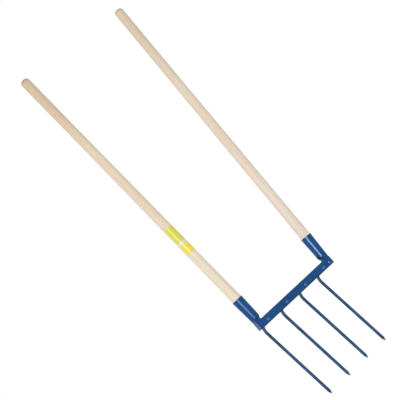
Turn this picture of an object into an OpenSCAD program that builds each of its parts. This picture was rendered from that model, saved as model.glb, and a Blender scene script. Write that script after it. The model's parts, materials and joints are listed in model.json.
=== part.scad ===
// Broadfork: two long ash handles in steel sockets, on a crossbar with four bent tines.
// X runs along the crossbar, the front is -Y, the handles stand up along Z.
// The origin is the middle of the crossbar's underside. Lengths are millimetres, angles degrees.

/* [Crossbar] */
// Length of the crossbar over its end plates
bar_length = 404; // [370:1:600]
// Height of the crossbar
bar_height = 30.5; // [24:0.5:40]
// Depth of the crossbar from front to back
bar_depth = 25; // [22:1:30]
// Wall of the crossbar's tube
bar_wall = 3; // [2:0.25:4]
// Outer radius of the tube's long edges
bar_edge = 4; // [2:0.25:6]
// Inner radius of the tube's long edges
bar_inner_edge = 1; // [0.5:0.25:3]
// Thickness of the end plates
end_plate = 3; // [2:0.5:6]
// Chamfer round the outside of an end plate
end_chamfer = 1; // [0.5:0.25:1.5]

/* [Tines] */
// From the end of the crossbar to the outer tine's axis
tine_inset = 48.1; // [30:0.1:60]
// Height of the tines' holes above the crossbar's underside
tine_height = 11; // [10.5:0.5:16]
// Diameter of the tine's round bar, in the crossbar and the bend
tine_d = 11.7; // [11.5:0.1:13]
// Diameter of the straight shank, drawn a little thinner
shank_d = 11.5; // [9:0.1:11.5]
// Gap round a tine in its holes through the crossbar
tine_clear = 0.1; // [0.05:0.05:0.3]
// From the crossbar's back face to the rearmost centre line of a tine
heel_reach = 56; // [46:1:80]
// Radius of the bend, on the tine's centre line
bend_radius = 32; // [20:1:38]
// Lean of the straight shank towards the front
tine_lean = 11.3; // [4:0.1:20]
// Length of the straight shank with its point
shank_length = 309; // [200:1:400]
// Length of the ground point
point_length = 19; // [12:0.5:40]
// Width of the blunt end of the point
tip_width = 1.25; // [1:0.25:4]

/* [Welds] */
// Diameter of the domed weld over a tine's front end
front_weld_d = 14.5; // [13:0.5:17]
// Height of the domed weld over a tine's front end
front_weld_height = 3; // [1:0.25:4]
// Leg of the fillet weld round a tine at the back of the crossbar
back_weld_leg = 3; // [2:0.25:4]
// Leg of the fillet weld between a socket's neck and the crossbar's top
neck_weld_leg = 3.5; // [2:0.25:5]
// Length of the upright weld on the front face under the right socket
end_weld_length = 14; // [12:0.5:16]
// Width of the upright weld
end_weld_width = 8; // [5:0.5:9]
// Height of the upright weld above the front face
end_weld_height = 2.5; // [1:0.25:3]

/* [Sockets] */
// From the end of the crossbar to a socket's axis, on the crossbar's top
socket_inset = 16; // [13:0.25:18]
// Outward lean of each socket and handle
splay = 2.7; // [0:0.1:6]
// From the crossbar's top to a socket's mouth, along its axis
socket_length = 105; // [80:0.5:160]
// Outer diameter at the mouth
mouth_d = 43.25; // [40:0.25:50]
// Outer diameter where the long cone ends and the pressed shoulders start
shoulder_d = 38.4; // [36.4:0.2:40]
// Height of the shoulders above the crossbar
shoulder_height = 24; // [18:0.5:32]
// From a socket's axis to the inner side of its neck
neck_inner = 8; // [6:0.25:12]
// Height of the neck's upright sides above the crossbar
neck_height = 5; // [2:0.5:8]
// Rounding between the neck and the shoulders
neck_round = 12; // [4:1:16]
// Wall of the socket
socket_wall = 2.5; // [2.25:0.25:3.5]
// Rounding of the mouth's outer edge
mouth_round = 0.8; // [0.3:0.1:1.2]

/* [Handles] */
// From a socket's mouth to the end of its handle
handle_reach = 1071; // [700:1:1400]
// Step in from the socket's outer edge to the wood
rim_step = 2.2; // [1.4:0.1:2.5]
// Diameter of the straight grip
grip_d = 34; // [28:0.5:38]
// Length of the straight grip, without its rounded end
grip_length = 200; // [120:5:300]
// Rounding of the handle's end
end_round = 14.5; // [6:0.5:15]
// Radius of the slight crown on the handle's end
end_crown = 22; // [18:1:60]
// From the end of the tail down to the socket's floor
tail_end_gap = 4.5; // [2:0.5:20]
// Gap round the tail in its socket
tail_clear = 0.15; // [0.05:0.05:0.25]
// Chamfer at the end of the tail
tail_chamfer = 3; // [1:0.5:6]

/* [Handle screws] */
// From a socket's mouth down to its screw
screw_drop = 26; // [16:1:45]
// Diameter of the screw
screw_d = 4.5; // [3:0.25:6]
// Length of the screw under its head
screw_length = 26; // [16:1:32]
// Length of the screw's point
screw_point = 5; // [3:0.5:8]
// Diameter of the screw's head
screw_head_d = 9; // [7:0.25:12]
// Height of the screw's domed head
screw_head_height = 3; // [2:0.25:4]
// Width of the slot in the screw's head
slot_width = 1.2; // [0.8:0.1:2]
// Depth of the slot in the screw's head
slot_depth = 1.2; // [0.6:0.1:1.6]
// Gap round the screw in the wood and the socket
screw_clear = 0.1; // [0.05:0.05:0.3]

/* [Label] */
// Length of the label along the handle
label_length = 118.5; // [60:0.5:160]
// How far the label wraps round the handle
label_wrap = 160; // [90:5:220]
// From the left socket's mouth to the label
label_start = 228; // [60:1:500]
// Thickness of the label
label_thick = 0.2; // [0.1:0.05:0.5]
// Film of glue between the label and the wood
label_glue = 0.1; // [0.05:0.05:0.3]

/* [Hidden] */

$fn = 96;
// How far a cut runs past the surface that it opens, or a joined end into its neighbour
overrun = 1;
// Chords in a rounded corner of a turned outline
corner_steps = 6;
left = -1;
right = 1;
tine_count = 4;

paint_blue = "#1f4f8a";
tine_blue = "#3f5270";
weld_blue = "#2a5a96";
ash = "#e2cfac";
label_yellow = "#e6dc3c";
zinc = "#b9bdc2";

front_y = -bar_depth / 2;
back_y = bar_depth / 2;
tine_pitch = (bar_length - 2 * tine_inset) / (tine_count - 1);
tine_r = tine_d / 2;
shank_r = shank_d / 2;
bend_y = back_y + heel_reach - bend_radius;
stub_length = bend_y - front_y;
bend_angle = 90 + tine_lean;

shoulder_r = shoulder_d / 2;
mouth_r = mouth_d / 2;
socket_x = bar_length / 2 - socket_inset;
// A neck reaches this far down, so that it beds on the crossbar's rounded edges
saddle_share = 0.6;
saddle = bar_edge * saddle_share;

grip_r = grip_d / 2;
handle_r = mouth_r - rim_step;
end_z = handle_reach - end_round;
taper_z = end_z - grip_length;
tail_length = socket_length - shoulder_height - tail_end_gap;
cone_slope = (mouth_r - shoulder_r) / (socket_length - shoulder_height);
tail_top_r = mouth_r - socket_wall - tail_clear;
tail_end_r = tail_top_r - tail_length * cone_slope;
screw_z = -screw_drop;
// The head's underside clears the cone at the head's upper edge
screw_seat = mouth_r + (screw_z + screw_head_d / 2) * cone_slope;

function tine_x(i) = (i - (tine_count + 1) / 2) * tine_pitch;
function unit(v) = v / norm(v);

// Radius of the tapering wood at a height above the socket's mouth
function wood_r(z) = handle_r + (grip_r - handle_r) * z / taper_z;

// Points of an arc of radius r that rounds the corner b between a and c
function rounded(a, b, c, r) =
    let (
        u = unit(a - b),
        v = unit(c - b),
        half = acos(u * v) / 2,
        centre = b + unit(u + v) * r / sin(half),
        from = b + u * r / tan(half) - centre,
        to = b + v * r / tan(half) - centre,
        start = atan2(from.y, from.x),
        turn = atan2(from.x * to.y - from.y * to.x, from * to)
    )
    [for (k = [0 : corner_steps])
        let (angle = start + turn * k / corner_steps)
        centre + r * [cos(angle), sin(angle)]];

// Outline of a rectangle with rounded corners, centred
module rounded_rectangle(width, height, radius) {
    square([width - 2 * radius, height], center = true);
    square([width, height - 2 * radius], center = true);
    for (sx = [-1, 1], sy = [-1, 1])
        translate([sx * (width / 2 - radius), sy * (height / 2 - radius)])
            circle(r = radius);
}

// A solid of the crossbar's outer section, centred on X
module bar_section(length) {
    translate([0, 0, bar_height / 2])
        rotate([90, 0, 90])
            linear_extrude(height = length, center = true)
                rounded_rectangle(bar_depth, bar_height, bar_edge);
}

// Places children on a socket's axis, with Z along it from the crossbar's top
module on_socket(side) {
    translate([side * socket_x, 0, bar_height])
        rotate([0, side * splay, 0])
            children();
}

// Places children on a handle's axis, with Z along it from the socket's mouth
module on_handle(side) {
    on_socket(side)
        translate([0, 0, socket_length])
            children();
}

// A convex bead of weld round a bar of radius r, on the plane z = 0
module weld_ring(r, leg) {
    rotate_extrude()
        translate([r, 0])
            intersection() {
                circle(r = leg);
                square([leg + overrun, leg + overrun]);
            }
}

module crossbar() {
    color(paint_blue)
        difference() {
            bar_section(bar_length - 2 * end_plate);
            translate([0, 0, bar_height / 2])
                rotate([90, 0, 90])
                    linear_extrude(height = bar_length + 2 * overrun, center = true)
                        rounded_rectangle(bar_depth - 2 * bar_wall, bar_height - 2 * bar_wall, bar_inner_edge);
            for (i = [1 : tine_count])
                translate([tine_x(i), front_y - overrun, tine_height])
                    rotate([-90, 0, 0])
                        cylinder(r = tine_r + tine_clear, h = bar_depth + 2 * overrun);
        }
}

// A rectangle in X and one other direction, with its outer corners cut off
module chamfered_end(size) {
    inner = bar_length / 2 - end_plate;
    outer = bar_length / 2;
    polygon([
        [inner, -size / 2],
        [outer - end_chamfer, -size / 2],
        [outer, end_chamfer - size / 2],
        [outer, size / 2 - end_chamfer],
        [outer - end_chamfer, size / 2],
        [inner, size / 2]
    ]);
}

module end_plate_solid(side) {
    color(paint_blue)
        mirror([side == left ? 1 : 0, 0, 0])
            intersection() {
                bar_section(bar_length + 2 * overrun);
                linear_extrude(height = bar_height)
                    chamfered_end(bar_depth);
                translate([0, 0, bar_height / 2])
                    rotate([90, 0, 0])
                        linear_extrude(height = bar_depth, center = true)
                            chamfered_end(bar_height);
            }
}

// A wedge along Z whose two flats meet the round shank at the start of its point
module point_wedge() {
    slope = (shank_r - tip_width / 2) / point_length;
    wide = shank_r + overrun;
    flat_start = shank_length - point_length - overrun / slope;
    rotate([90, 0, 0])
        linear_extrude(height = shank_d + 2 * overrun, center = true)
            polygon([
                [-wide, -2 * overrun],
                [wide, -2 * overrun],
                [wide, flat_start],
                [tip_width / 2, shank_length],
                [-tip_width / 2, shank_length],
                [-wide, flat_start]
            ]);
}

// The straight end of a tine along Z, ground to a four-sided point
module shank() {
    intersection() {
        translate([0, 0, -overrun])
            cylinder(r = shank_r, h = shank_length + overrun);
        point_wedge();
        rotate([0, 0, 90])
            point_wedge();
    }
}

// A tine runs through the crossbar, bends down behind it and leans forward to its point
module tine(i) {
    color(tine_blue)
        translate([tine_x(i), 0, tine_height]) {
            translate([0, front_y, 0])
                rotate([-90, 0, 0])
                    cylinder(r = tine_r, h = stub_length);
            translate([0, bend_y, -bend_radius])
                rotate([0, -90, 0]) {
                    rotate_extrude(angle = bend_angle)
                        translate([bend_radius, 0])
                            circle(r = tine_r);
                    rotate([0, 0, bend_angle])
                        translate([bend_radius, 0, 0])
                            rotate([-90, 0, 0])
                                shank();
                }
        }
}

// The domed plug weld that closes a tine's hole in the front face
module front_weld(i) {
    dome_r = (front_weld_height * front_weld_height + front_weld_d * front_weld_d / 4)
        / (2 * front_weld_height);
    color(weld_blue)
        translate([tine_x(i), front_y, tine_height])
            rotate([90, 0, 0])
                rotate_extrude()
                    intersection() {
                        translate([0, front_weld_height - dome_r])
                            circle(r = dome_r);
                        square([front_weld_d, front_weld_height + overrun]);
                    }
}

// The fillet weld round a tine at the back face
module back_weld(i) {
    color(weld_blue)
        translate([tine_x(i), back_y, tine_height])
            rotate([-90, 0, 0])
                weld_ring(tine_r, back_weld_leg);
}

// Half outline of a pressed side, from the neck's half width up over the shoulder and past the cone
function pressed_side(half) =
    let (
        wide = mouth_r + overrun,
        foot = [half, -saddle],
        neck = [half, neck_height],
        shoulder = [shoulder_r, shoulder_height],
        slope = (shoulder_height - neck_height) / (shoulder_r - half),
        exit = [wide, shoulder_height + (wide - shoulder_r) * slope]
    )
    concat([foot], rounded(foot, neck, shoulder, neck_round), [exit, [wide, socket_length + overrun]]);

// Outline of a socket seen square on, with its own half width of neck on each side
module pressed_outline(half_low, half_high) {
    low = pressed_side(half_low);
    polygon(concat(
        pressed_side(half_high),
        [for (k = [len(low) - 1 : -1 : 0]) [-low[k].x, low[k].y]]
    ));
}

// Long cone of a socket, carried straight down to the crossbar
module socket_cone() {
    foot = [shoulder_r - (shoulder_height + saddle) * cone_slope, -saddle];
    rim = [mouth_r, socket_length];
    rotate_extrude()
        polygon(concat(
            [[0, -saddle], foot],
            rounded(foot, rim, [0, socket_length], mouth_round),
            [[0, socket_length]]
        ));
}

// Outside of a socket: the cone, pressed in on all sides to sit flush on the crossbar's end
module socket_outside(side) {
    width = 2 * (mouth_r + overrun);
    on_socket(side)
        mirror([side == left ? 1 : 0, 0, 0])
            intersection() {
                socket_cone();
                rotate([90, 0, 0])
                    linear_extrude(height = width, center = true)
                        pressed_outline(neck_inner, socket_inset);
                rotate([90, 0, 90])
                    linear_extrude(height = width, center = true)
                        pressed_outline(bar_depth / 2, bar_depth / 2);
            }
}

// Inside of a socket, from the shoulders to the open mouth
module socket_hollow() {
    rotate_extrude()
        polygon([
            [0, shoulder_height],
            [shoulder_r - socket_wall, shoulder_height],
            [mouth_r - socket_wall + overrun * cone_slope, socket_length + overrun],
            [0, socket_length + overrun]
        ]);
}

module socket(side) {
    color(paint_blue)
        difference() {
            socket_outside(side);
            on_socket(side)
                socket_hollow();
            on_handle(side)
                translate([0, 0, screw_z])
                    rotate([-90, 0, 0])
                        cylinder(r = screw_d / 2 + screw_clear, h = mouth_r + overrun);
            bar_section(bar_length);
        }
}

// Bead in the corner between a neck's inner side and the crossbar's top
module socket_weld(side) {
    length = bar_depth - 2 * bar_edge;
    color(weld_blue)
        difference() {
            translate([side * (socket_x - neck_inner), -length / 2, bar_height])
                rotate([-90, 0, 0])
                    cylinder(r = neck_weld_leg, h = length);
            socket_outside(side);
            bar_section(bar_length);
        }
}

// Upright bead on the front face under the right socket
module end_weld() {
    half = end_weld_width / 2;
    bead_r = (end_weld_height * end_weld_height + half * half) / (2 * end_weld_height);
    reach = (end_weld_length - end_weld_width) / 2;
    color(weld_blue)
        intersection() {
            translate([socket_x, front_y - end_weld_height + bead_r, tine_height])
                rotate_extrude()
                    intersection() {
                        union() {
                            square([2 * bead_r, 2 * reach], center = true);
                            translate([0, reach])
                                circle(r = bead_r);
                            translate([0, -reach])
                                circle(r = bead_r);
                        }
                        translate([0, -bar_height])
                            square([bead_r + overrun, 2 * bar_height]);
                    }
            translate([-bar_length / 2, front_y - bar_depth, -bar_height])
                cube([bar_length, bar_depth, 3 * bar_height]);
        }
}

// Rounded and slightly crowned end of a handle, above end_z
module handle_end() {
    intersection() {
        union() {
            translate([0, end_z])
                square([grip_r - end_round, end_round]);
            translate([grip_r - end_round, end_z])
                circle(r = end_round);
        }
        translate([0, end_z])
            square([grip_r + overrun, end_round + overrun]);
        translate([0, handle_reach - end_crown])
            circle(r = end_crown);
    }
}

// Half section of a handle: tail, shoulder on the rim, long taper, grip
module handle_section() {
    polygon([
        [0, -tail_length],
        [tail_end_r - tail_chamfer, -tail_length],
        [tail_end_r + tail_chamfer * cone_slope, tail_chamfer - tail_length],
        [tail_top_r, 0],
        [handle_r, 0],
        [grip_r, taper_z],
        [grip_r, end_z],
        [0, end_z]
    ]);
    handle_end();
}

module handle(side) {
    color(ash)
        on_handle(side)
            difference() {
                rotate_extrude()
                    handle_section();
                translate([0, screw_seat - screw_length - screw_clear, screw_z])
                    rotate([-90, 0, 0])
                        cylinder(r = screw_d / 2 + screw_clear, h = screw_length + screw_clear);
            }
}

// Domed and slotted wood screw, driven into the back of a socket
module handle_screw(side) {
    dome_r = (screw_head_height * screw_head_height + screw_head_d * screw_head_d / 4)
        / (2 * screw_head_height);
    color(zinc)
        on_handle(side)
            translate([0, screw_seat, screw_z])
                rotate([-90, 0, 0]) {
                    translate([0, 0, screw_point - screw_length])
                        cylinder(r = screw_d / 2, h = screw_length - screw_point);
                    translate([0, 0, -screw_length])
                        cylinder(r1 = 0, r2 = screw_d / 2, h = screw_point);
                    difference() {
                        rotate_extrude()
                            intersection() {
                                translate([0, screw_head_height - dome_r])
                                    circle(r = dome_r);
                                square([screw_head_d, screw_head_height + overrun]);
                            }
                        translate([-slot_width / 2, -screw_head_d / 2, screw_head_height - slot_depth])
                            cube([slot_width, screw_head_d, slot_depth + overrun]);
                    }
                }
}

// Plain label wrapped round the front of the left handle
module handle_label() {
    low = label_start;
    high = label_start + label_length;
    low_r = wood_r(low) + label_glue;
    high_r = wood_r(high) + label_glue;
    color(label_yellow)
        on_handle(left)
            rotate([0, 0, -90 - label_wrap / 2])
                rotate_extrude(angle = label_wrap)
                    polygon([
                        [low_r, low],
                        [low_r + label_thick, low],
                        [high_r + label_thick, high],
                        [high_r, high]
                    ]);
}

crossbar();
end_plate_solid(left);  // end_plate_left
end_plate_solid(right);  // end_plate_right
for (i = [1 : tine_count]) {
    tine(i);
    front_weld(i);
    back_weld(i);
}
socket(left);  // socket_left
socket(right);  // socket_right
socket_weld(left);  // socket_weld_left
socket_weld(right);  // socket_weld_right
end_weld();
handle(left);  // handle_left
handle(right);  // handle_right
handle_screw(left);  // handle_screw_left
handle_screw(right);  // handle_screw_right
handle_label();
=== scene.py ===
"""Broadfork: looks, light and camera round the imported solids. Metres, +Z up, front is -Y."""
import json
import math

import bpy
from mathutils import Matrix, Vector


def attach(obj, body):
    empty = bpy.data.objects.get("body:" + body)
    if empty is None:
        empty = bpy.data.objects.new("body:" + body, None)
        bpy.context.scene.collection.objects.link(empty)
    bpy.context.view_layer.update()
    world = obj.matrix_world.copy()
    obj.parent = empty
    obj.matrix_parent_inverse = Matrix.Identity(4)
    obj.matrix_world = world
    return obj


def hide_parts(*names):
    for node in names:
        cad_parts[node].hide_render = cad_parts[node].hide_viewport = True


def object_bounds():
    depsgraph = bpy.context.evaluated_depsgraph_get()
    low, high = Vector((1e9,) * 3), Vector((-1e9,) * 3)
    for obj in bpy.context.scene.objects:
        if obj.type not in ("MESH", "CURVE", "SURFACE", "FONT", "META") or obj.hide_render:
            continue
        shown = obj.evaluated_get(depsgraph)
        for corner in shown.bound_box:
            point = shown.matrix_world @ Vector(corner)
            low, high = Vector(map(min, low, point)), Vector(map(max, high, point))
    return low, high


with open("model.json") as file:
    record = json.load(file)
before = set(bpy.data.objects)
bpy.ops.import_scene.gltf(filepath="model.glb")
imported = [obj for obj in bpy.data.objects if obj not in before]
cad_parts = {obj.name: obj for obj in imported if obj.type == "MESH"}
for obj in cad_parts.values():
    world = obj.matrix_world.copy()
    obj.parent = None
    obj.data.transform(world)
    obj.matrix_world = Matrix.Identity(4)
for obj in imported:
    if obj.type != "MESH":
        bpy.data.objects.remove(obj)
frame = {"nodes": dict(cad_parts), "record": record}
nodes = frame["nodes"]
cad_bounds = [list(corner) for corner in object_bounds()]

MM = 0.001
LEFT, RIGHT = -1, 1

# Camera, fitted to points measured on the photograph
IMAGE_PX = 400
SENSOR_MM = 36.0
VIEW_AZIMUTH = math.radians(30)
VIEW_ELEVATION = -0.04246
VIEW_ROLL = -0.73233
VIEW_DISTANCE = 6333.378 * MM
VIEW_PX_PER_M = 282.533
VIEW_TARGET = Vector((-33.45, 0, 483.08)) * MM
VIEW_FAR = 100.0

# Light: the world's even part, what its key side adds, and two lamps that only gloss sees
AMBIENT = 0.66
KEY = 0.82
KEY_DIRECTION = Vector((-0.8, -0.6, 0.3)).normalized()
STRIP = {"location": (-2.95, -4.1, 0.25), "target": (0, 0, 0.25), "size": (2.3, 0.9), "power": 780}
SIDE_GLOW = {"location": (-1.5, 2.6, 0.4), "target": (0, 0, 0.1), "size": (1.2, 2.0), "power": 15}

# Floor: a plain grey that lights the part, shown as white that takes a faint shadow
FLOOR_HALF = 30.0
FLOOR_DROP = 0.5 * MM
WHITE = (1, 1, 1, 1)
FLOOR_GREY = (0.8, 0.8, 0.8, 1)
SHADOW_GREY = (0.3, 0.3, 0.3, 1)
FLOOR_GLOW = 0.77

# Sizes of the solids that the turned handles and the label's fields of colour follow
SPLAY = math.radians(2.7)
SOCKET_X = 186 * MM
BAR_TOP = 30.5 * MM
SOCKET_LENGTH = 105 * MM
HANDLE_REACH = 1071 * MM
HANDLE_R = 19.425 * MM
GRIP_R = 17 * MM
GRIP_LENGTH = 200 * MM
END_ROUND = 14.5 * MM
END_CROWN = 22 * MM
TAIL_LENGTH = 76.5 * MM
TAIL_TOP_R = 18.975 * MM
TAIL_SLOPE = 2.425 / 81
TAIL_CHAMFER = 3 * MM
LABEL_START = 228 * MM
LABEL_LENGTH = 118.5 * MM
LABEL_LOWER_SHARE = 0.4
LABEL_SPLIT = LABEL_START + LABEL_LOWER_SHARE * LABEL_LENGTH
LABEL_GAP_HALF = 5.4 * MM
LABEL_SOFT_EDGE = 0.2 * MM

# Fineness of the turned handles
LATHE_SIDES = 96
TAPER_STEPS = 24
GRIP_STEPS = 6
ROUND_STEP = math.radians(4)
CROWN_STEPS = 12
SHARP_ANGLE = math.radians(35)

# Gloss: indices of refraction, the tint of the paint's sheen, and roughness
SPRAYED_IOR = 1.25
BEAD_IOR = 1.55
TINE_IOR = 1.05
FILM_IOR = 1.15
PAINT_SHEEN = (0.45, 0.68, 1.0, 1)
# Roughness of the faces that look down, under the painted shade
UNDERSIDE_ROUGH = 0.95
ROUGH_SPREAD = 0.02

# Colours, linear
BLUE_DEEP = (0.0115, 0.064, 0.2)
BLUE_LIGHT = (0.0145, 0.078, 0.232)
WELD_LIGHT = (0.016, 0.08, 0.24)
# Painted highlight: a lighter copy of the blue for the end bead, to lift its highlight
LIT_BEAD_DEEP = (0.014, 0.075, 0.225)
LIT_BEAD_LIGHT = (0.018, 0.088, 0.26)
# Painted shade: the dark blue that the paint turns to on faces that look down
PAINTED_UNDERSIDE_SHADE = (0.012, 0.03, 0.085)
TINE_DEEP = (0.032, 0.076, 0.163)
TINE_LIGHT = (0.046, 0.101, 0.209)
TINE_SCUFF = (0.08, 0.126, 0.194)
# Painted highlight: the paler tone on the tines' bends just below the bar
TINE_PAINTED_HIGHLIGHT = (0.095, 0.146, 0.27)
TINE_BARE = (0.19, 0.185, 0.18)
ZINC_DARK = (0.42, 0.43, 0.45)
ZINC_LIGHT = (0.6, 0.6, 0.6)
FILM_LOWER_DEEP = (0.86, 0.72, 0.085)
FILM_LOWER_LIGHT = (0.9, 0.76, 0.115)
FILM_UPPER_DEEP = (0.72, 0.685, 0.09)
FILM_UPPER_LIGHT = (0.76, 0.725, 0.115)
FILM_GAP = (0.74, 0.73, 0.6)
WOOD_STREAK = (0.66, 0.5, 0.33)
WOOD_RING = (0.6, 0.46, 0.3)
WOOD_FIBRE = (0.5, 0.37, 0.24)
WOOD_PORE = (0.36, 0.26, 0.16)
DARK_END_TONE = (0.3, 0.27, 0.19)
LEFT_ASH = {"low": (0.9, 0.79, 0.66), "middle": (0.825, 0.69, 0.53), "high": (0.69, 0.55, 0.375),
            "end_reach": 17 * MM, "seed": 0.4}
RIGHT_ASH = {"low": (0.86, 0.74, 0.63), "middle": (0.8, 0.68, 0.545), "high": (0.705, 0.592, 0.445),
             "end_reach": 14 * MM, "seed": -0.7}

# Where paint and wood change along Z: (start, full)
# Painted highlight on the tines' bends: from just below the bar upwards
PAINTED_HIGHLIGHT_Z = (-27 * MM, -17 * MM)
WORN_Z = (-318 * MM, -330 * MM)
MIDDLE_ASH_Z = (120 * MM, 500 * MM)
HIGH_ASH_Z = (650 * MM, 1000 * MM)

# Slope of a face, as its normal's Z, at which the painted underside shade and the matte finish
# start and are full
UNDERSIDE = (-0.33, -0.46)

# The middle span of a noise's values
NOISE_SPAN = (0.3, 0.7)

# How much of the colour below it a layer covers
SPECK_SHARE = 0.3
# How much the painted underside shade covers the paint's own colour
UNDERSIDE_SHADE_SHARE = 0.85
RING_SHARE = 0.2
PORE_SHARE = 0.12

# Wood: where the heart lies beside the handle, and how its rings run
HEART_X = 0.11
HEART_Y = 0.045
GRAIN_SHIFT = 3.7
RINGS_PER_M = 290
RING_WANDER = 9

# Sockets of a Mix node for colours
MIX_A, MIX_B, MIX_RESULT = 6, 7, 2


def make_camera():
    a, e, r = VIEW_AZIMUTH, VIEW_ELEVATION, VIEW_ROLL
    back = Vector((-math.sin(a) * math.cos(e), -math.cos(a) * math.cos(e), math.sin(e)))
    level = Vector((0, 0, 1)).cross(back).normalized()
    up = back.cross(level)
    x_axis = math.cos(r) * level + math.sin(r) * up
    y_axis = -math.sin(r) * level + math.cos(r) * up
    data = bpy.data.cameras.new("camera")
    data.sensor_width = SENSOR_MM
    data.lens = SENSOR_MM * VIEW_PX_PER_M * VIEW_DISTANCE / IMAGE_PX
    data.clip_end = VIEW_FAR
    camera = bpy.data.objects.new("camera", data)
    bpy.context.scene.collection.objects.link(camera)
    rotation = Matrix((x_axis, y_axis, back)).transposed()
    camera.matrix_world = Matrix.Translation(VIEW_TARGET + back * VIEW_DISTANCE) @ rotation.to_4x4()
    bpy.context.scene.camera = camera


# Node helpers

def add(tree, kind, values=None, **settings):
    """Adds a node. A value that is a socket is linked, any other is set."""
    made = tree.nodes.new(kind)
    for key, value in settings.items():
        setattr(made, key, value)
    for key, value in (values or {}).items():
        if isinstance(value, bpy.types.NodeSocket):
            tree.links.new(value, made.inputs[key])
        else:
            made.inputs[key].default_value = value
    return made


def math_node(tree, operation, a, b=0.0):
    return add(tree, "ShaderNodeMath", {0: a, 1: b}, operation=operation).outputs[0]


def times(tree, a, b):
    return math_node(tree, "MULTIPLY", a, b)


def mix(tree, factor, a, b):
    """Mixes two colours, each a socket or a linear RGB triple."""
    made = add(tree, "ShaderNodeMix", {0: factor}, data_type="RGBA")
    for index, value in ((MIX_A, a), (MIX_B, b)):
        if isinstance(value, bpy.types.NodeSocket):
            tree.links.new(value, made.inputs[index])
        else:
            made.inputs[index].default_value = (*value, 1)
    return made.outputs[MIX_RESULT]


def ramp(tree, factor, span, values=(0.0, 1.0), smooth=True):
    """Maps factor from the span to the values, clamped."""
    made = add(tree, "ShaderNodeMapRange", {
        "Value": factor, "From Min": span[0], "From Max": span[1],
        "To Min": values[0], "To Max": values[1]})
    made.interpolation_type = "SMOOTHSTEP" if smooth else "LINEAR"
    return made.outputs["Result"]


def noise(tree, vector, scale, detail=3.0, rough=0.5):
    return add(tree, "ShaderNodeTexNoise", {
        "Vector": vector, "Scale": scale, "Detail": detail, "Roughness": rough}).outputs["Fac"]


def drawn_noise(tree, vector, scales, detail=3.0, rough=0.5):
    """Noise with a scale for each axis, so that it is drawn out along the one with the smallest."""
    drawn = add(tree, "ShaderNodeMapping", {"Vector": vector, "Scale": scales}).outputs[0]
    return noise(tree, drawn, 1.0, detail, rough)


def bump(tree, height, strength, distance, normal=None):
    values = {"Height": height, "Strength": strength, "Distance": distance}
    if normal is not None:
        values["Normal"] = normal
    return add(tree, "ShaderNodeBump", values).outputs[0]


def z_of(tree, vector):
    return add(tree, "ShaderNodeSeparateXYZ", {0: vector}).outputs["Z"]


def own_frame(tree, place, side):
    """Turns the part's coordinates into those of a handle's own frame."""
    foot = handle_matrix(side).translation
    values = {"Vector": place, "Location": foot, "Rotation": (0, side * SPLAY, 0)}
    return add(tree, "ShaderNodeMapping", values, vector_type="TEXTURE").outputs[0]


def new_material(name, **sockets):
    """Makes a material with these values on its shader. An underscore stands for a space."""
    material = bpy.data.materials.new(name)
    material.use_nodes = True
    tree = material.node_tree
    shader = tree.nodes["Principled BSDF"]
    for key, value in sockets.items():
        shader.inputs[key.replace("_", " ")].default_value = value
    place = add(tree, "ShaderNodeTexCoord").outputs["Object"]
    return material, tree, shader, place


def feed(tree, shader, **sockets):
    """Links outputs to the shader. An underscore stands for a space."""
    for key, value in sockets.items():
        tree.links.new(value, shader.inputs[key.replace("_", " ")])


# Materials

def paint(name, deep, light, rough, ior=SPRAYED_IOR, ripple=0.0):
    """Sprayed paint: uneven film, dust specks, orange peel, painted shade and a matte finish below,
    rippled over a bead.
    """
    material, tree, shader, place = new_material(name, IOR=ior, Specular_Tint=PAINT_SHEEN)
    film = ramp(tree, noise(tree, place, scale=22, detail=4), span=(0.35, 0.68))
    specks = ramp(tree, noise(tree, place, scale=1400, detail=1), span=(0.68, 0.76))
    normal = add(tree, "ShaderNodeNewGeometry").outputs["Normal"]
    # Painted shade: faces that look down turn darker and rougher
    under = ramp(tree, z_of(tree, normal), UNDERSIDE)
    color = mix(tree, film, deep, light)
    color = mix(tree, times(tree, specks, SPECK_SHARE), color, light)
    color = mix(tree, times(tree, under, UNDERSIDE_SHADE_SHARE), color, PAINTED_UNDERSIDE_SHADE)
    uneven = (rough - ROUGH_SPREAD, rough + ROUGH_SPREAD)
    gloss = ramp(tree, noise(tree, place, scale=60), NOISE_SPAN, uneven)
    gloss = math_node(tree, "ADD", gloss, times(tree, under, UNDERSIDE_ROUGH - rough))
    relief = bump(tree, noise(tree, place, scale=420, detail=2), strength=0.012, distance=0.4 * MM)
    if ripple:
        waves = noise(tree, place, scale=330, rough=0.6)
        relief = bump(tree, waves, ripple, distance=0.8 * MM, normal=relief)
    feed(tree, shader, Base_Color=color, Roughness=gloss, Normal=relief)
    return material


def tine_paint():
    """Thin paint on steel: scuffed along the shank, bare at the points, with a painted highlight on
    the bends below the bar.
    """
    material, tree, shader, place = new_material("tine_paint", IOR=TINE_IOR)
    height = z_of(tree, place)
    film = ramp(tree, noise(tree, place, scale=35), NOISE_SPAN)
    streaks = drawn_noise(tree, place, scales=(420, 420, 26), detail=4, rough=0.65)
    scuffed = ramp(tree, streaks, span=(0.6, 0.76), values=(0.0, 0.4))
    # Painted highlight: paler on the bends just below the bar
    painted_highlight = ramp(tree, height, PAINTED_HIGHLIGHT_Z, values=(0.0, 0.9))
    worn = times(tree, ramp(tree, height, WORN_Z), ramp(tree, streaks, span=(0.3, 0.6)))
    color = mix(tree, film, TINE_DEEP, TINE_LIGHT)
    color = mix(tree, scuffed, color, TINE_SCUFF)
    color = mix(tree, painted_highlight, color, TINE_PAINTED_HIGHLIGHT)
    color = mix(tree, worn, color, TINE_BARE)
    gloss = ramp(tree, streaks, NOISE_SPAN, values=(0.36, 0.52))
    relief = bump(tree, streaks, strength=0.1, distance=0.3 * MM)
    feed(tree, shader, Base_Color=color, Roughness=gloss, Normal=relief)
    return material


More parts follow.
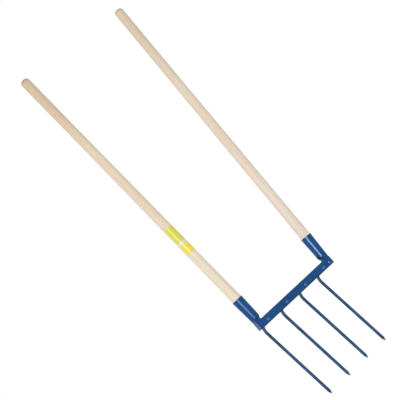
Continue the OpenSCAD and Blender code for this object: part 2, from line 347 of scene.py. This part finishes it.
def ash(side, name, low, middle, high, end_reach, seed):
    """Turned ash along the handle's Z: off-centre growth rings, pores, fibres, darker towards the
    rounded end.
    """
    material, tree, shader, place = new_material(name, Specular_IOR_Level=0.0)
    place = own_frame(tree, place, side)
    heart = (seed * HEART_X, HEART_Y, seed * GRAIN_SHIFT)
    shifted = add(tree, "ShaderNodeMapping", {"Vector": place, "Location": heart}).outputs[0]

    parts = add(tree, "ShaderNodeSeparateXYZ", {0: shifted})
    squares = [math_node(tree, "POWER", parts.outputs[axis], 2.0) for axis in "XY"]
    from_heart = math_node(tree, "SQRT", math_node(tree, "ADD", *squares))
    wander = drawn_noise(tree, shifted, scales=(9, 9, 1.3), rough=0.55)
    even_rings = times(tree, from_heart, RINGS_PER_M)
    rings = math_node(tree, "ADD", even_rings, times(tree, wander, RING_WANDER))
    ring = ramp(tree, math_node(tree, "FRACT", rings), span=(0.45, 1.0))

    streaks = drawn_noise(tree, shifted, scales=(70, 70, 2.2))
    fibres = drawn_noise(tree, shifted, scales=(900, 900, 14), detail=4, rough=0.6)
    specks = drawn_noise(tree, shifted, scales=(1900, 1900, 70), detail=2)
    in_ring = ramp(tree, ring, span=(0.1, 0.8), values=(0.25, 1.0))
    pores = times(tree, ramp(tree, specks, span=(0.6, 0.72)), in_ring)

    height = z_of(tree, place)
    color = mix(tree, ramp(tree, height, MIDDLE_ASH_Z), low, middle)
    color = mix(tree, ramp(tree, height, HIGH_ASH_Z), color, high)
    color = mix(tree, ramp(tree, streaks, span=(0.4, 0.8), values=(0.0, 0.25)), color, WOOD_STREAK)
    color = mix(tree, times(tree, ring, RING_SHARE), color, WOOD_RING)
    color = mix(tree, ramp(tree, fibres, span=(0.4, 0.8), values=(0.0, 0.08)), color, WOOD_FIBRE)
    color = mix(tree, times(tree, pores, PORE_SHARE), color, WOOD_PORE)

    # Darker towards the rounded end of the handle
    end = ramp(tree, height, span=(HANDLE_REACH - end_reach, HANDLE_REACH), smooth=False)
    end_specks = noise(tree, place, scale=700, detail=4, rough=0.65)
    end = times(tree, end, ramp(tree, end_specks, NOISE_SPAN, values=(0.8, 1.15)))
    color = mix(tree, end, color, DARK_END_TONE)

    gloss = ramp(tree, fibres, NOISE_SPAN, values=(0.5, 0.64))
    relief = bump(tree, fibres, strength=0.05, distance=0.1 * MM)
    relief = bump(tree, pores, strength=-0.05, distance=0.1 * MM, normal=relief)
    feed(tree, shader, Base_Color=color, Roughness=gloss, Normal=relief)
    return material


def screw_steel():
    """Zinc plate with a faint spangle and fine scratches."""
    material, tree, shader, place = new_material("screw_steel", Metallic=1.0)
    spangle = add(tree, "ShaderNodeTexVoronoi", {"Vector": place, "Scale": 900})
    scratches = drawn_noise(tree, place, scales=(250, 2500, 2500), detail=2)
    color = mix(tree, spangle.outputs["Distance"], ZINC_DARK, ZINC_LIGHT)
    gloss = ramp(tree, scratches, NOISE_SPAN, values=(0.26, 0.45))
    relief = bump(tree, scratches, strength=0.1, distance=0.2 * MM)
    feed(tree, shader, Base_Color=color, Roughness=gloss, Normal=relief)
    return material


def label_film():
    """Plain glossy film in two yellows with a pale gap between them."""
    material, tree, shader, place = new_material("label", IOR=FILM_IOR)
    height = z_of(tree, own_frame(tree, place, LEFT))

    def above(level):
        return ramp(tree, height, span=(level - LABEL_SOFT_EDGE, level + LABEL_SOFT_EDGE))

    def below(level):
        return ramp(tree, height, span=(level + LABEL_SOFT_EDGE, level - LABEL_SOFT_EDGE))

    cloud = ramp(tree, noise(tree, place, scale=60), span=(0.35, 0.7))
    lower = mix(tree, cloud, FILM_LOWER_DEEP, FILM_LOWER_LIGHT)
    upper = mix(tree, cloud, FILM_UPPER_DEEP, FILM_UPPER_LIGHT)
    color = mix(tree, above(LABEL_SPLIT), lower, upper)
    gap = times(tree, above(LABEL_SPLIT - LABEL_GAP_HALF), below(LABEL_SPLIT + LABEL_GAP_HALF))
    color = mix(tree, gap, color, FILM_GAP)
    gloss = ramp(tree, noise(tree, place, scale=150), NOISE_SPAN, values=(0.28, 0.36))
    relief = bump(tree, noise(tree, place, scale=90, detail=2), strength=0.03, distance=1 * MM)
    feed(tree, shader, Base_Color=color, Roughness=gloss, Normal=relief)
    return material


# Handles: the same turned outline as the solids, with many more sides

def handle_matrix(side):
    """From a handle's own frame, Z up from its socket's mouth, to the part's frame."""
    foot = Matrix.Translation((side * SOCKET_X, 0, BAR_TOP)) @ Matrix.Rotation(side * SPLAY, 4, "Y")
    return foot @ Matrix.Translation((0, 0, SOCKET_LENGTH))


def handle_profile():
    """(radius, height) points from the middle of the tail's end to the middle of the crown."""
    round_z = HANDLE_REACH - END_ROUND
    taper_top = round_z - GRIP_LENGTH
    crown_z = HANDLE_REACH - END_CROWN
    tail_end_r = TAIL_TOP_R - TAIL_LENGTH * TAIL_SLOPE
    points = [
        (0, -TAIL_LENGTH),
        (tail_end_r - TAIL_CHAMFER, -TAIL_LENGTH),
        (tail_end_r + TAIL_CHAMFER * TAIL_SLOPE, TAIL_CHAMFER - TAIL_LENGTH),
        (TAIL_TOP_R, 0),
        (HANDLE_R, 0),
    ]
    for k in range(1, TAPER_STEPS + 1):
        r = HANDLE_R + (GRIP_R - HANDLE_R) * k / TAPER_STEPS
        points.append((r, taper_top * k / TAPER_STEPS))
    for k in range(1, GRIP_STEPS + 1):
        points.append((GRIP_R, taper_top + GRIP_LENGTH * k / GRIP_STEPS))
    # The rounded edge runs until the flatter crown cuts it
    turn = 0.0
    while True:
        turn += ROUND_STEP
        r = GRIP_R - END_ROUND + END_ROUND * math.cos(turn)
        z = round_z + END_ROUND * math.sin(turn)
        if z >= crown_z + math.sqrt(END_CROWN ** 2 - r ** 2):
            break
        points.append((r, z))
    start = math.asin(points[-1][0] / END_CROWN)
    for k in range(1, CROWN_STEPS + 1):
        angle = start * (1 - k / CROWN_STEPS)
        points.append((END_CROWN * math.sin(angle), crown_z + END_CROWN * math.cos(angle)))
    return points


def lathe(name, points, matrix):
    """A closed mesh turned round Z from (radius, height) points, with its place in the mesh."""
    inner = points[1:-1]
    verts = [(0, 0, points[0][1])]
    for r, z in inner:
        for k in range(LATHE_SIDES):
            angle = 2 * math.pi * k / LATHE_SIDES
            verts.append((r * math.cos(angle), r * math.sin(angle), z))
    verts.append((0, 0, points[-1][1]))
    last = 1 + (len(inner) - 1) * LATHE_SIDES
    faces = []
    for k in range(LATHE_SIDES):
        n = (k + 1) % LATHE_SIDES
        faces.append((0, 1 + n, 1 + k))
        for a in range(1, last, LATHE_SIDES):
            b = a + LATHE_SIDES
            faces.append((a + k, a + n, b + n, b + k))
        faces.append((last + k, last + n, len(verts) - 1))
    mesh = bpy.data.meshes.new(name)
    mesh.from_pydata(verts, [], faces)
    mesh.transform(matrix)
    mesh.shade_smooth()
    mesh.set_sharp_from_angle(angle=SHARP_ANGLE)
    made = bpy.data.objects.new(name, mesh)
    bpy.context.scene.collection.objects.link(made)
    return made


def make_handle(side, name, node, material):
    piece = lathe(name, handle_profile(), handle_matrix(side))
    piece.data.materials.append(material)
    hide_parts(node)
    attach(piece, "root")


# Light and floor

def glossy_light(name, location, target, size, power):
    """A lamp that shows only in gloss, so that it adds no noise to the diffuse light."""
    data = bpy.data.lights.new(name, "AREA")
    data.shape = "RECTANGLE"
    data.size, data.size_y = size
    data.energy = power
    lamp = bpy.data.objects.new(name, data)
    bpy.context.scene.collection.objects.link(lamp)
    lamp.location = location
    lamp.rotation_mode = "QUATERNION"
    lamp.rotation_quaternion = (Vector(target) - Vector(location)).to_track_quat("-Z", "Y")
    lamp.visible_camera = False
    lamp.visible_diffuse = False


def by_ray(tree, lighting, shown):
    """Camera, glossy and transmission rays get the second shader, all others the first."""
    rays = add(tree, "ShaderNodeLightPath").outputs
    shiny = math_node(tree, "MAXIMUM", rays["Is Glossy Ray"], rays["Is Transmission Ray"])
    seen = math_node(tree, "MAXIMUM", rays["Is Camera Ray"], shiny)
    made = add(tree, "ShaderNodeMixShader", {0: seen, 1: lighting.outputs[0], 2: shown.outputs[0]})
    return made.outputs[0]


def make_world():
    """Soft light from all sides, stronger round the key direction. The camera sees plain white."""
    world = bpy.data.worlds.new("world")
    bpy.context.scene.world = world
    world.use_nodes = True
    tree = world.node_tree
    tree.nodes.clear()
    direction = add(tree, "ShaderNodeTexCoord").outputs["Generated"]
    facing = add(tree, "ShaderNodeVectorMath", {0: direction, 1: KEY_DIRECTION},
                 operation="DOT_PRODUCT").outputs["Value"]
    strength = ramp(tree, facing, span=(0.0, 1.0), values=(AMBIENT, AMBIENT + KEY))
    light = add(tree, "ShaderNodeBackground", {"Color": WHITE, "Strength": strength})
    shown = add(tree, "ShaderNodeBackground", {"Color": WHITE, "Strength": 1.0})
    add(tree, "ShaderNodeOutputWorld", {0: by_ray(tree, light, shown)})


def make_floor(height):
    signs = ((-1, -1), (1, -1), (1, 1), (-1, 1))
    corners = [(x * FLOOR_HALF, y * FLOOR_HALF, height) for x, y in signs]
    mesh = bpy.data.meshes.new("floor")
    mesh.from_pydata(corners, [], [(0, 1, 2, 3)])
    material = bpy.data.materials.new("floor")
    material.use_nodes = True
    tree = material.node_tree
    tree.nodes.clear()
    plain = add(tree, "ShaderNodeBsdfDiffuse", {"Color": FLOOR_GREY})
    faint = add(tree, "ShaderNodeBsdfDiffuse", {"Color": SHADOW_GREY})
    glow = add(tree, "ShaderNodeEmission", {"Color": WHITE, "Strength": FLOOR_GLOW})
    shown = add(tree, "ShaderNodeAddShader", {0: faint.outputs[0], 1: glow.outputs[0]})
    add(tree, "ShaderNodeOutputMaterial", {0: by_ray(tree, plain, shown)})
    mesh.materials.append(material)
    floor = bpy.data.objects.new("floor", mesh)
    bpy.context.scene.collection.objects.link(floor)


make_camera()

slots = {
    "blue_paint": paint("blue_paint", BLUE_DEEP, BLUE_LIGHT, rough=0.27),
    "weld_paint": paint("weld_paint", BLUE_DEEP, WELD_LIGHT, rough=0.6, ior=BEAD_IOR, ripple=0.4),
    "tine_paint": tine_paint(),
    "screw_steel": screw_steel(),
    "label": label_film(),
}
# Painted highlight: the end bead gets the lighter copy of the blue paint
smooth_bead = paint("smooth_bead", LIT_BEAD_DEEP, LIT_BEAD_LIGHT, rough=0.42, ior=BEAD_IOR,
                    ripple=0.06)
for part in frame["record"]["subparts"]:
    node, slot = part["node"], part["material_slot"]
    if slot in slots:
        mesh = nodes[node].data
        mesh.materials.clear()
        mesh.materials.append(smooth_bead if node == "end_weld" else slots[slot])
make_handle(LEFT, "ash_handle_left", "handle_left", ash(LEFT, "ash_left", **LEFT_ASH))
make_handle(RIGHT, "ash_handle_right", "handle_right", ash(RIGHT, "ash_right", **RIGHT_ASH))

make_world()
make_floor(cad_bounds[0][2] - FLOOR_DROP)
glossy_light("strip", **STRIP)
glossy_light("side_glow", **SIDE_GLOW)

bpy.context.scene.view_settings.view_transform = "Standard"
